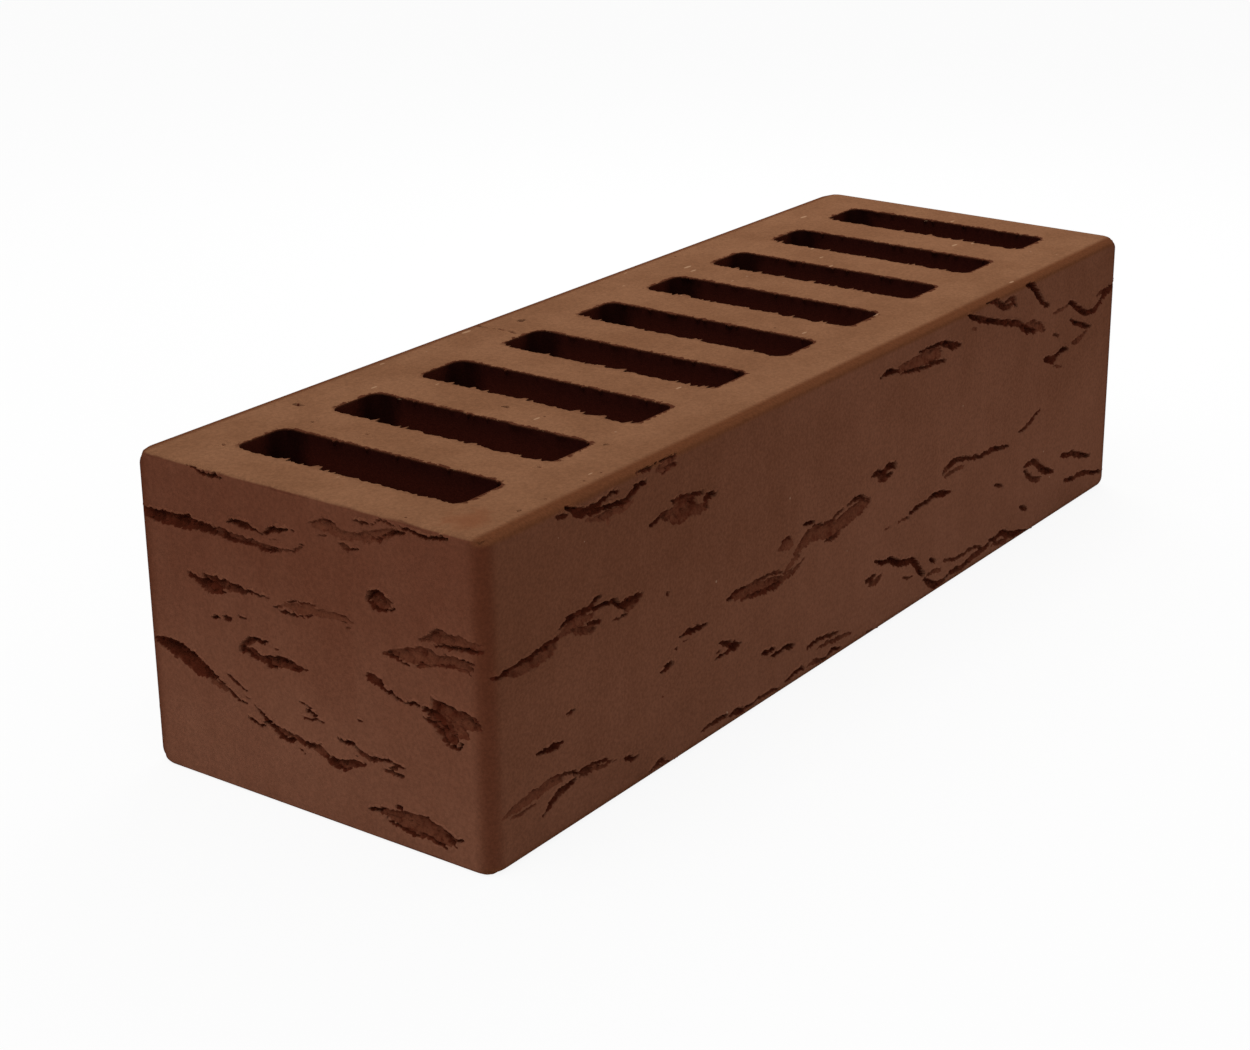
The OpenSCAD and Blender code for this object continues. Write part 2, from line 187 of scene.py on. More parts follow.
# Bark marks on the front stretcher, in the same form.
stretcher_tears = [
    (0.75, (20.2, 1.6, 0.3), (22, 2.4, 0.6), (24, 2.6, 0.2)),
    (1, (22.6, 0.2, 0.3), (24.6, 1.6, 0.5), (27.2, 3.2, 0.9), (30.5, 3.4, 0.9), (34, 2.9, 0.7),
     (37.2, 2.3, 0.5), (39.4, 3, 0.25)),
    (0.95, (30, 4.4, 0.4), (34, 4.5, 0.5), (38, 4.8, 0.7), (41, 5.2, 0.9), (43.4, 4.2, 0.9),
     (45.8, 3.5, 0.7), (48, 3.4, 0.4)),
    (0.35, (29, 5.4, 0.3), (33, 6, 0.7), (37, 6.2, 0.7), (41, 6.6, 0.6), (43.5, 6, 0.3)),
    (0.7, (44, 0.1, 0.3), (47, 0.8, 0.6), (50, 1.3, 0.4)),
    (0.75, (50.5, 0.6, 0.3), (54.5, 0.7, 0.5), (57.7, 1.3, 0.4)),
    (0.35, (51, 2.2, 0.5), (54, 2.2, 1.2), (57, 2.4, 0.8)),
    (0.7, (53, 3.6, 0.2), (55.6, 2.8, 0.45), (57.8, 3, 0.3)),
    (0.85, (48.7, 12.7, 0.25), (50.2, 12.5, 0.7), (52.5, 11.7, 0.6), (54.5, 11.5, 0.4)),
    (0.58, (53, 12.6, 0.5), (55.5, 12.4, 1.2), (57, 12.8, 2.2), (60, 12.9, 2.5), (62.5, 13.2, 2.2),
     (64.5, 14.2, 1.2), (68.5, 14.6, 0.8)),
    (0.8, (55.6, 9.6, 0.3), (58, 10.2, 0.6), (61, 10.5, 0.6), (64, 10.8, 0.5), (66.5, 11.4, 0.5)),
    (0.95, (66.6, 12.6, 0.6), (68.4, 12.7, 0.9), (71.2, 12.6, 0.3)),
    (1, (1.5, 26.5, 0.3), (4.5, 26.3, 0.6), (8, 26.4, 0.9), (12, 26.1, 1), (16, 25.8, 1),
     (19.3, 25.2, 0.9), (20.3, 24.4, 0.3)),
    (0.45, (6, 27.3, 0.4), (10, 27.6, 0.8), (14, 27.5, 0.8), (18, 27.1, 0.8), (20, 26.2, 0.5)),
    (0.9, (20.6, 23.6, 0.25), (22.5, 22.8, 0.7), (26, 22.7, 0.8), (29.5, 22.5, 0.7), (31.5, 21.6, 0.6),
     (33.4, 21.3, 0.3)),
    (0.95, (29.5, 22.9, 0.25), (32, 23.2, 0.5), (35, 23.5, 0.5), (37.6, 24, 0.7), (38.6, 25.2, 0.4)),
    (0.38, (20.6, 24.8, 0.5), (24, 24.5, 1.1), (28, 24.2, 0.9), (31, 24.3, 0.5)),
    (0.5, (24.6, 25.2, 0.4), (27.4, 26.2, 0.8), (30, 27, 0.9), (31.5, 27.6, 0.4)),
    (0.8, (29, 25.4, 0.3), (31, 26, 0.5), (33.4, 26.6, 0.3)),
    (0.85, (38.4, 25.4, 0.5), (41, 25.6, 1), (44, 25.8, 1.1), (46.4, 25.4, 0.4)),
    (0.5, (40.5, 26.9, 0.4), (43, 27, 0.5), (45, 26.6, 0.3)),
    (0.6, (36.4, 27.3, 0.2), (39, 27.8, 0.45), (42, 28, 0.25)),
    (0.8, (54.3, 28.2, 0.45), (55.4, 28.6, 0.4)),
    (0.95, (13.3, 45.5, 0.25), (15.5, 45.8, 0.6), (18, 46.1, 0.85), (20, 46.2, 0.6), (21.6, 46, 0.25)),
    (0.9, (22.3, 41, 0.25), (23.4, 41, 0.45), (24.8, 41.1, 0.25)),
    (0.5, (22.6, 41.6, 0.15), (24, 41.7, 0.2)),
    (0.3, (3, 54.2, 0.2), (7, 53.6, 0.9), (12, 53.2, 1.1), (17, 53, 1), (21, 53.4, 0.8)),
    (0.55, (9, 52.6, 0.2), (14, 52.3, 0.3), (18, 52.2, 0.35), (22, 52.9, 0.35), (25, 53.8, 0.4)),
    (0.9, (24.3, 54.2, 0.3), (27, 54.4, 0.6), (30, 54.5, 0.55), (33, 54.8, 0.4), (35, 55.5, 0.25)),
    (0.5, (26, 55.2, 0.4), (30, 55.5, 0.6), (34, 56, 0.4), (37.6, 56.7, 0.15)),
    (0.75, (14.8, 58.7, 0.25), (16.6, 57.4, 0.8), (19, 56.3, 1), (22, 55.6, 0.8), (25, 55.2, 0.5)),
    (0.4, (5, 55.2, 0.2), (9, 55.3, 0.4), (13, 55.2, 0.3)),
    (0.85, (39.6, 57, 0.25), (41.5, 57.8, 0.6), (43, 58.6, 0.6), (44.8, 58.4, 0.2)),
    (0.75, (48, 63.5, 0.25), (50, 62.8, 0.5), (52, 62.5, 0.6), (53.5, 63.2, 0.4)),
    (0.5, (50, 63.7, 0.3), (53, 63.8, 0.4), (57.7, 64.7, 0.2)),
    (0.9, (58.6, 38.8, 0.25), (60.5, 38.6, 0.6), (63, 38.9, 0.7), (66, 39.2, 0.45), (68.5, 39.4, 0.3)),
    (0.7, (56.6, 40.6, 0.35), (57.8, 40.6, 0.35)),
    (0.5, (59.5, 40.2, 0.2), (61.2, 40.4, 0.2)),
    (0.85, (52.2, 43.9, 0.35), (54, 43.6, 0.8), (55.5, 43.2, 0.5), (56.6, 43.5, 0.35)),
    (0.4, (52.4, 49.1, 0.25), (53.4, 49.2, 0.25)),
    (0.85, (72.3, 45, 0.3), (74.2, 45.8, 0.6), (76.6, 46.8, 0.6), (78.6, 47.3, 0.4)),
    (0.95, (71.2, 48.1, 0.3), (74, 47.9, 0.5), (76.5, 47.9, 0.8), (78.5, 48.1, 0.9), (79.8, 47.8, 0.4)),
    (0.6, (71.2, 47, 0.25), (72.6, 47, 0.25)),
    (0.85, (74.7, 36.8, 0.3), (76.5, 36.5, 0.8), (79, 36.2, 0.8), (82, 36.3, 0.4)),
    (0.6, (82, 36.3, 0.3), (86, 36.4, 0.4), (90, 36.5, 0.45), (94, 37.2, 0.4), (96, 37.7, 0.2)),
    (0.45, (77.5, 37.4, 0.5), (82, 37.7, 1), (87, 38.1, 1.2), (92, 38.8, 1.2), (96, 39.2, 0.9),
     (100, 38.7, 0.7), (104, 37.3, 0.3)),
    (0.7, (80, 38.6, 0.25), (85, 39.2, 0.45), (90, 39.8, 0.55), (93, 40.3, 0.6), (95.4, 40.1, 0.3)),
    (0.75, (94.8, 31.2, 0.4), (96.8, 30.9, 0.7), (98.6, 31.2, 0.4)),
    (0.35, (93.6, 32, 0.4), (96.5, 32.3, 1.1), (99.5, 32.4, 0.5)),
    (0.85, (103, 29.7, 0.3), (105, 30, 0.5), (107.6, 30.5, 0.4)),
    (0.55, (107, 31.2, 0.3), (110, 32, 0.5), (114, 32.4, 0.5), (117, 31.6, 0.5), (119.4, 31.2, 0.25)),
    (0.42, (100, 35.4, 0.6), (104, 33.4, 1.6), (108, 33.2, 1.6), (112, 34.2, 1.6), (117, 34.4, 1.7),
     (122, 33.6, 1.8), (127, 33, 1.6), (130.4, 32.6, 0.6)),
    (0.65, (112, 36.2, 0.3), (115, 36.6, 0.6), (118.5, 36.2, 0.3)),
    (0.7, (120.5, 31.2, 0.3), (123.5, 30.6, 0.6), (127, 31, 0.5), (130, 32.4, 0.3)),
    (0.35, (96, 38, 0.5), (99, 36.8, 0.8), (102, 35.6, 0.7)),
    (0.9, (130.6, 27.6, 0.4), (132.6, 27.2, 0.8), (135, 28.2, 0.9), (137.4, 27.4, 0.9), (139.8, 27.5, 0.9),
     (141.6, 28.6, 0.4)),
    (0.6, (133.6, 29, 0.4), (136.6, 29.6, 0.9), (139.8, 29.2, 0.5)),
    (0.95, (87.8, 53.2, 0.4), (90, 53.7, 0.8), (92.6, 53.6, 0.5)),
    (0.9, (91.4, 54.8, 0.3), (94, 55.4, 0.6), (97, 55, 0.6), (98.8, 55.6, 0.9), (100.4, 55.9, 0.3)),
    (0.75, (105.4, 58.6, 0.4), (108, 58.2, 0.65), (111.5, 58.2, 0.5), (114.5, 58.8, 0.5),
     (118.4, 59.3, 0.3)),
    (0.45, (109.5, 60, 0.3), (114, 60.2, 0.6), (119, 60.9, 0.6), (124, 61.3, 0.3)),
    (0.7, (65.6, 62, 0.3), (69, 61.8, 0.55), (72.5, 61.8, 0.6), (75, 62.4, 0.4)),
    (0.65, (75.6, 62.5, 0.4), (79, 62.7, 0.8), (82, 63.3, 0.5), (86, 63, 0.4), (91, 63, 0.5),
     (94.5, 63.4, 0.3)),
    (0.75, (97, 63, 0.4), (100.5, 62.4, 0.6), (103, 62.2, 0.6), (104.6, 63, 0.3)),
    (0.4, (105.4, 62.6, 0.3), (109, 62.8, 0.6), (112, 63.6, 0.5)),
    (0.8, (112, 63.8, 0.4), (114.5, 62.9, 0.6), (117, 62.8, 0.5), (119.4, 63.4, 0.3)),
    (0.95, (133.2, 5.9, 0.35), (136, 5.4, 0.75), (139, 6, 0.6), (142, 6.6, 0.4)),
    (0.4, (140.5, 5.8, 0.5), (145, 6.2, 1.1), (150, 6.4, 1.5), (155, 6.5, 1.5), (160, 6.8, 1.1)),
    (0.8, (150, 4.3, 0.35), (154, 4.6, 0.5), (159, 4.8, 0.55), (162.6, 5.8, 0.8), (166, 7, 0.9),
     (169.4, 7.4, 0.4)),
    (0.7, (142, 7.2, 0.25), (147, 8, 0.45), (152, 8.5, 0.45), (157, 8.6, 0.5), (160, 9.2, 0.6),
     (162.4, 9.6, 0.25)),
    (0.85, (171.8, 1.2, 0.3), (175.5, 2.9, 0.7), (180, 4.5, 0.8), (186, 6.3, 0.75), (192, 8, 0.8),
     (197, 9.4, 0.9), (199.6, 11.2, 1), (203, 12.6, 0.9), (206, 13.6, 0.6)),
    (0.4, (200, 10.6, 0.5), (204, 11.4, 1.1), (208, 13, 1.1), (211, 14.8, 0.5)),
    (0.35, (174, 5, 0.2), (176.5, 5.8, 0.3)),
    (0.75, (179, 0.4, 0.3), (182.5, 0.6, 0.6), (186, 1.8, 0.9), (189, 3.6, 0.9), (192, 4, 0.8),
     (194.6, 3.2, 0.7), (195.2, 4.8, 0.5)),
    (0.5, (189, 2.6, 0.4), (192.5, 2.4, 0.6), (195, 3.2, 0.5)),
    (0.9, (199.8, 0.8, 0.35), (203, 1.6, 0.8), (205.5, 3.8, 0.9), (208.5, 6.6, 0.8), (211, 8.4, 0.7),
     (212.8, 8.8, 0.3)),
    (0.85, (222.6, 10.2, 0.4), (225.5, 11.4, 0.8), (229, 13.6, 0.8), (233, 15.4, 0.8), (237, 15.8, 0.9),
     (240.5, 14.6, 1.1), (243.5, 12.8, 1.2), (247, 12.2, 0.8), (249.6, 10.4, 0.6)),
    (0.5, (238.5, 12.6, 0.4), (241, 12, 0.6), (244, 11.6, 0.5)),
    (0.35, (214.5, 11.4, 0.3), (219, 11.4, 0.5), (223, 11, 0.3)),
    (0.75, (224, 15.1, 0.35), (228, 16.9, 0.7), (232, 18.4, 0.7), (236, 19.8, 0.4)),
    (0.5, (226, 21.4, 0.5), (229, 21.6, 1), (232, 20.8, 0.8), (234.4, 20, 0.4)),
    (0.9, (210.6, 21.4, 0.5), (213.4, 22.4, 0.9), (216.5, 23.1, 1), (219, 22, 0.8), (222.5, 21.9, 0.7),
     (224, 22.4, 0.3)),
    (0.4, (216, 24.6, 0.2), (219, 25.6, 0.4), (221, 26.2, 0.2)),
    (0.5, (215.4, 16.8, 0.35), (217, 17.4, 0.45), (218.8, 17.9, 0.25)),
    (0.65, (162.3, 36.6, 0.5), (165, 35.4, 0.9), (168, 34.9, 0.8), (171.5, 35.4, 0.6), (175, 36.2, 0.65),
     (179, 37, 0.6)),
    (0.7, (177.5, 37.4, 0.4), (182, 37.4, 0.7), (187, 37.6, 0.7), (191, 38.4, 0.6), (195, 39.1, 0.35)),
    (0.35, (163.5, 37.4, 0.4), (168, 37.2, 0.6), (173, 37.6, 0.3)),
    (0.7, (199.6, 36.9, 0.35), (203, 36.7, 0.7), (206, 35.8, 0.75), (208, 34.8, 0.6), (210.6, 34.3, 0.3)),
    (0.85, (147.8, 41.4, 0.35), (150.5, 40.9, 0.75), (153.6, 41, 0.6), (156.4, 40.6, 0.6)),
    (0.85, (155.6, 41, 0.4), (158.5, 40.6, 0.8), (161.5, 41, 0.9), (165, 41.6, 0.5), (166.8, 41.8, 0.2)),
    (0.35, (136.8, 41.8, 0.3), (139, 41.6, 0.35)),
    (0.35, (142.6, 41.9, 0.25), (148, 42, 0.4)),
    (0.55, (188.3, 46.8, 0.4), (190.3, 47.6, 0.6), (192.4, 48.6, 0.2)),
    (0.75, (203, 46.8, 0.5), (206, 46.7, 0.8), (208.6, 47.1, 0.9), (211.4, 49.2, 0.9), (214.5, 51.2, 1),
     (217.5, 52.2, 0.7), (219.4, 52.8, 0.3)),
    (0.55, (203.4, 47.8, 0.5), (205.6, 49.8, 0.8), (209, 51.8, 0.8), (212.6, 52.8, 0.6)),
    (0.7, (222.6, 49.6, 0.45), (226, 50.6, 0.7), (229.5, 51, 0.8), (232.5, 52.4, 0.9), (236, 53.4, 0.8),
     (239.8, 54.8, 0.4)),
    (0.7, (225.4, 57, 0.45), (229, 57.8, 0.75), (233, 57.9, 0.8), (238, 58.8, 0.8), (242.5, 60, 0.6),
     (247.6, 61.2, 0.3)),
    (0.6, (201.8, 56.6, 0.35), (203.6, 57.5, 0.6), (205.8, 58.7, 0.3)),
    (0.9, (129, 51.4, 0.35), (131, 51.4, 0.75), (133.4, 51.2, 0.5)),
    (0.45, (130.5, 52.6, 0.5), (133.5, 52.8, 0.8), (136.4, 52, 0.5)),
    (0.9, (133, 47.8, 0.4), (136, 49.2, 0.7), (139.6, 49.8, 0.8), (142.6, 51.4, 0.9), (146, 52.6, 0.8),
     (149.4, 53.2, 0.9), (151.6, 55, 0.9), (153.6, 57.2, 0.9), (155.4, 58.8, 0.6)),
    (0.5, (145.4, 55.6, 0.3), (147.8, 56.8, 0.4), (150.4, 57.4, 0.2)),
    (0.65, (155.2, 59.4, 0.5), (158, 61.6, 0.9), (161, 63, 0.9), (164.4, 63.2, 0.8), (166.6, 62.4, 0.5)),
    (0.6, (165.6, 62.6, 0.4), (169, 62.2, 0.8), (173, 62.8, 0.8), (178, 62, 0.9), (183, 61.8, 0.9),
     (187, 61.2, 0.6)),
    (0.55, (164.6, 58.2, 0.35), (168, 59.2, 0.5), (173, 59.8, 0.5), (178.5, 59.6, 0.5), (182.6, 60.8, 0.5)),
    (0.35, (156.6, 59.2, 0.4), (160, 59.4, 0.6), (163.4, 60, 0.4)),
    (0.8, (157.6, 55.5, 0.4), (159.2, 56.4, 0.7), (160.8, 57.2, 0.35)),
    (0.75, (186.2, 60.4, 0.5), (189.6, 60.8, 0.8), (193, 60.4, 0.9), (195.4, 61.8, 1), (199, 62.8, 0.9),
     (203.4, 63.8, 0.7), (208.6, 64.8, 0.4)),
    (0.45, (188, 62, 0.4), (191.5, 62.6, 0.7), (196, 63.6, 0.6)),
    (0.7, (130.2, 63.9, 0.4), (132.4, 64.2, 0.5), (135.2, 64.7, 0.3)),
]

# A drying crack and a few pits in the upper bed: along from the near header, across from the back edge.
bed_marks = [
    (0.8, (100.5, 0, 0.2), (99.7, 4, 0.25), (100.6, 8, 0.2), (100.3, 13, 0.3)),
    (0.95, (37, 6.4, 0.4), (37.2, 7.6, 0.5), (37.4, 8.8, 0.4)),
    (0.9, (107.8, 7.6, 0.55), (109.2, 7.4, 0.55)),
    (0.9, (59.2, 42.4, 0.5), (60, 42.6, 0.4)),
    (0.7, (11.2, 12.5, 0.3), (11.9, 12.6, 0.3)),
    (0.7, (12.5, 18.4, 0.3), (13.1, 18.6, 0.3)),
    (0.7, (30.7, 17.4, 0.3), (31.3, 17.6, 0.3)),
    (0.7, (31.2, 31, 0.3), (31.8, 31.1, 0.3)),
    (0.7, (52, 72.4, 0.35), (52.7, 72.6, 0.3)),
    (0.6, (35.2, 69.4, 0.3), (35.8, 69.6, 0.3)),
    (0.6, (15.2, 80.5, 0.3), (15.8, 80.5, 0.3)),
    (0.6, (22.7, 80.5, 0.3), (23.3, 80.6, 0.3)),
]

points, links, half_breadths, bites = [], [], [], []
hidden_share = 0.8


def lay_tears(tears, corner, along, down, outward, hidden=False):
    """Lays one face's tears on the brick: points, links between them, half breadths and bites.
    A bite points out of the face and is as long as the tear's share of the full depth.
    A hidden face has the tears of a visible one, turned round and shallower."""
    for share, *path in tears:
        for order, (u, v, half_breadth) in enumerate(reversed(path) if hidden else path):
            if order:
                links.append((len(points) - 1, len(points)))
            points.append(corner + along * (u * mm) + down * (v * mm))
            half_breadths.append(half_breadth * mm)
            bites.extend(outward * (share * (hidden_share if hidden else 1.0)))


x_axis, y_axis, z_axis = Vector((1, 0, 0)), Vector((0, 1, 0)), Vector((0, 0, 1))
near_back_top = Vector((low.x, high.y, high.z))
near_front_top = Vector((low.x, low.y, high.z))
far_back_bottom = Vector((high.x, high.y, low.z))
lay_tears(header_tears, near_back_top, -y_axis, -z_axis, -x_axis)
lay_tears(stretcher_tears, near_front_top, x_axis, -z_axis, -y_axis)
lay_tears(bed_marks, near_back_top, x_axis, -y_axis, z_axis)
lay_tears(header_tears, far_back_bottom, -y_axis, z_axis, x_axis, hidden=True)
lay_tears(stretcher_tears[::2], far_back_bottom, -x_axis, z_axis, y_axis, hidden=True)


def placed(name, data):
    """Puts an object with this data into the scene."""
    made = bpy.data.objects.new(name, data)
    bpy.context.scene.collection.objects.link(made)
    return made


tear_mesh = bpy.data.meshes.new("tear_paths")
tear_mesh.from_pydata(points, links, [])
tear_mesh.attributes.new("half_breadth", "FLOAT", "POINT").data.foreach_set("value", half_breadths)
tear_mesh.attributes.new("bite", "FLOAT_VECTOR", "POINT").data.foreach_set("vector", bites)
tear_paths = placed("tear_paths", tear_mesh)

# The outline of a tear from its upper to its lower lip: across it, and out of the face.
# It is deepest under the upper lip.
trough_points = [(-1.0, 0.3), (-1.0, 0.0), (-0.88, -0.75), (-0.55, -1.0), (0.0, -0.85), (0.5, -0.6),
                 (0.85, -0.35), (1.0, 0.0), (1.0, 0.3)]
trough_links = [(i, (i + 1) % len(trough_points)) for i in range(len(trough_points))]
trough_mesh = bpy.data.meshes.new("trough_outline")
trough_mesh.from_pydata([(out, across, 0) for across, out in trough_points], trough_links, [])
for name, column in zip(("across", "out"), zip(*trough_points)):
    trough_mesh.attributes.new(name, "FLOAT", "POINT").data.foreach_set("value", column)
trough_outline = placed("trough_outline", trough_mesh)


class Wire:
    """One output of a node. Reckoning with it adds Math nodes to its tree, or Vector Math for vectors."""

    def __init__(self, tree, socket):
        self.tree = tree
        self.socket = socket

    def reckon(self, operation, *values):
        kind = "ShaderNodeVectorMath" if self.socket.type in ("VECTOR", "RGBA") else "ShaderNodeMath"
        made = put(self.tree, kind, dict(enumerate(values)), operation=operation)
        return made[1 if operation in ("DOT_PRODUCT", "LENGTH") else 0]

    def by(self, operation, *others):
        return self.reckon(operation, self, *others)

    def scaled(self, factor):
        return put(self.tree, "ShaderNodeVectorMath", {0: self, "Scale": factor}, operation="SCALE")[0]

    def __add__(self, other):
        return self.by("ADD", other)

    def __sub__(self, other):
        return self.by("SUBTRACT", other)

    def __rsub__(self, other):
        return self.reckon("SUBTRACT", other, self)

    def __mul__(self, other):
        return self.by("MULTIPLY", other)

    def __truediv__(self, other):
        return self.by("DIVIDE", other)

    def __abs__(self):
        return self.by("ABSOLUTE")


def put(tree, kind, inputs=None, **settings):
    """Adds a node with its options and its inputs, values or wires. Returns its outputs as wires."""
    node = tree.nodes.new(kind)
    for name, value in settings.items():
        setattr(node, name, value)
    for key, value in (inputs or {}).items():
        if isinstance(value, Wire):
            tree.links.new(value.socket, node.inputs[key])
        else:
            node.inputs[key].default_value = value
    wires = {}
    for index, socket in enumerate(node.outputs):
        wires[index] = Wire(tree, socket)
        wires.setdefault(socket.name, wires[index])
    return wires


def joined(**parts):
    """A vector from wires for its X, Y and Z."""
    tree = [*parts.values()][0].tree
    return put(tree, "ShaderNodeCombineXYZ", parts)[0]


def parted(wire):
    """The X, Y and Z of a vector."""
    made = put(wire.tree, "ShaderNodeSeparateXYZ", {0: wire})
    return made[0], made[1], made[2]


def ramp(value, start, end, low_value=0.0, high_value=1.0):
    """A smooth step of a wire from low_value at start to high_value at end."""
    inputs = {"Value": value, "From Min": start, "From Max": end, "To Min": low_value, "To Max": high_value}
    return put(value.tree, "ShaderNodeMapRange", inputs, interpolation_type="SMOOTHSTEP")["Result"]


def cloud(where, scale, detail=2.0, roughness=0.5, output="Fac"):
    """Noise with this many grains to the metre."""
    inputs = {"Vector": where, "Scale": scale, "Detail": detail, "Roughness": roughness}
    return put(where.tree, "ShaderNodeTexNoise", inputs)[output]


def sockets(tree, inputs, outputs):
    """Gives a node group its named inputs and outputs, and returns both."""
    for way, named in (("INPUT", inputs), ("OUTPUT", outputs)):
        for name, kind in named.items():
            tree.interface.new_socket(name, in_out=way, socket_type="NodeSocket" + kind)
    entry = tree.nodes.new("NodeGroupInput").outputs
    return {socket.name: Wire(tree, socket) for socket in entry}, tree.nodes.new("NodeGroupOutput").inputs


# Easing of one pair of edges: inside the reach, the square corner of two faces turns into a round one.
easing = bpy.data.node_groups.new("eased_edge", "GeometryNodeTree")
pair = ("First", "Second")
edge_inputs = (*pair, "First half", "Second half", "First reach", "Second reach")
given, result = sockets(easing, dict.fromkeys(edge_inputs, "Float"), dict.fromkeys(pair, "Float"))
least_size = 0.0001
flat, over = {}, {}
for name in pair:
    flat_half = given[name + " half"] - given[name + " reach"]
    flat[name] = abs(given[name]).by("MINIMUM", flat_half)
    over[name] = (abs(given[name]) - flat_half).by("MAXIMUM", 0.0) / given[name + " reach"]
square_size = over["First"].by("MAXIMUM", over["Second"])
sum_of_squares = over["First"] * over["First"] + over["Second"] * over["Second"]
pull = square_size / sum_of_squares.by("SQRT").by("MAXIMUM", least_size)
for name in pair:
    reached = over[name] * pull * given[name + " reach"]
    easing.links.new(((flat[name] + reached) * given[name].by("SIGN")).socket, result[name])

# The brick's body: a fine block, the slots cut out with burred edges, eased edges, and the torn marks.
body = bpy.data.node_groups.new("brick_body", "GeometryNodeTree")
clay = bpy.data.materials.new("fired_clay")
row_step = Vector((0.45, 0.4, 0.26)) * mm
measures = {
    "First slot": first_slot_x, "Slot pitch": slot_pitch, "Slot width": slot_width,
    "Slot length": slot_length, "Slot corner": slot_corner,
    "Burr pitch": 5.0 * mm, "Burr reach": 2.0 * mm, "Burr drop": 1.6 * mm,
    "Corner radius": corner_radius, "Corner wear": 2.0 * mm, "Front corner share": 0.25,
    "Stretcher reach": stretcher_ease[0], "Stretcher drop": stretcher_ease[1],
    "Header reach": header_ease[0], "Header drop": header_ease[1],
    "Tear depth": 1.9 * mm, "Ragged": 2.0 * mm, "Fibre": 1.4 * mm, "Seed": 3.0,
}
body_inputs = {"Size": "Vector", "Rows": "Vector", "Slot count": "Int", "Tears": "Object",
               "Material": "Material"}
body_values = {
    "Size": (brick_length, brick_width, brick_height),
    "Rows": [math.ceil(extent / step) + 1 for extent, step in zip(high - low, row_step)],
    "Slot count": len(slot_boxes), "Tears": tear_paths, "Material": clay, **measures,
}
given, result = sockets(body, {**body_inputs, **dict.fromkeys(measures, "Float")}, {"Brick": "Geometry"})


def grown(kind, inputs=None, **settings):
    """Adds a geometry node to the brick's tree and returns its first output."""
    return put(body, "GeometryNode" + kind, inputs, **settings)[0]


def stored(geometry, name, value):
    """Keeps a number at each point of a geometry, under a name."""
    inputs = {"Geometry": geometry, "Name": name, "Value": value}
    return grown("StoreNamedAttribute", inputs, data_type="FLOAT", domain="POINT")


def kept(name, kind="FLOAT"):
    """What is stored at each point under a name."""
    return grown("InputNamedAttribute", {"Name": name}, data_type=kind)


size = parted(given["Size"])
rows = parted(given["Rows"])
half = [extent * 0.5 for extent in size]
lift = joined(Z=half[2])
block = grown("MeshCube", {"Size": given["Size"], "Vertices X": rows[0], "Vertices Y": rows[1],
                           "Vertices Z": rows[2]})
block = grown("Transform", {"Geometry": block, "Translation": lift})

# One slot's shape stands for the tongue of the die, closely ringed near the upper bed, where the burrs are.
overrun = 0.3 * mm
ring_count = 26
ring_crowding = 3.0
outline_step = 0.3 * mm
corner_steps = 8
outline = grown("CurvePrimitiveQuadrilateral", {"Width": given["Slot width"], "Height": given["Slot length"]})
outline = grown("FilletCurve", {"Curve": outline, "Radius": given["Slot corner"], "Count": corner_steps},
                mode="POLY")
outline = grown("ResampleCurve", {"Curve": outline, "Length": outline_step}, mode="LENGTH")
post = grown("CurvePrimitiveLine", {"Start": (0, 0, 0), "End": (0, 0, 1)})
post = grown("ResampleCurve", {"Curve": post, "Count": ring_count}, mode="COUNT")
place = grown("InputPosition")
fall = (1.0 - parted(place)[2]).by("POWER", ring_crowding) * (size[2] + 2 * overrun)
post = grown("SetPosition", {"Geometry": post, "Position": joined(Z=size[2] + overrun - fall)})
post = grown("SetCurveNormal", {"Curve": post, "Normal": (1, 0, 0)}, mode="FREE")
tongue = grown("CurveToMesh", {"Curve": post, "Profile Curve": outline, "Fill Caps": True})
tongue = stored(tongue, "side", parted(place)[0] / (given["Slot width"] * 0.5))
row = {"Count": given["Slot count"], "Start Location": joined(X=given["First slot"]),
       "Offset": joined(X=given["Slot pitch"])}
seats = grown("MeshLine", row, mode="OFFSET")
tongues = grown("InstanceOnPoints", {"Points": seats, "Instance": tongue})
tongues = grown("RealizeInstances", {"Geometry": tongues})

# Burrs: the wire drags clay over the near edge of each slot, in teeth that rise slowly and break off short.
axes = parted(place)
seed_shift = joined(X=given["Seed"], Y=given["Seed"], Z=given["Seed"])
seeded = place + seed_shift
level = joined(X=axes[0], Y=axes[1]) + seed_shift
uneven_pitch = 4.0
tooth_sharpness = 4.0
phase = cloud(level, 220.0) * uneven_pitch - axes[1] / given["Burr pitch"]
tooth = phase.by("FRACT").by("POWER", tooth_sharpness)
strength = ramp(cloud(level, 260.0), 0.42, 0.58)
wander_reach = 1.6
wander = (cloud(level, 300.0, 4.0, 0.65) - 0.5) * wander_reach
near_bed = ramp(size[2] - axes[2], given["Burr drop"], 0.0)
inward = ramp(kept("side"), -0.6, -0.95) - ramp(kept("side"), 0.9, 0.98, 0.0, 0.45)
shift = (tooth * strength + wander) * inward * (near_bed * given["Burr reach"])
tongues = grown("SetPosition", {"Geometry": tongues, "Offset": joined(X=shift)})
brick = grown("MeshBoolean", {"Mesh 1": block, "Mesh 2": tongues}, operation="DIFFERENCE", solver="MANIFOLD")

# Eased edges: the upright corners first, then the stretcher and header edges of both beds.
from_middle = parted(place - lift)


def ease(*values):
    """A point's place along two axes after the easing of the edge between them."""
    made = put(body, "GeometryNodeGroup", dict(zip(edge_inputs, values)), node_tree=easing)
    return made["First"], made["Second"]


def past(axis, reach):
    """How far a point lies past the start of an edge zone, from 0 at its start to 1 at the face."""
    return ((abs(from_middle[axis]) - (half[axis] - reach)) / reach).by("MAXIMUM", 0.0)


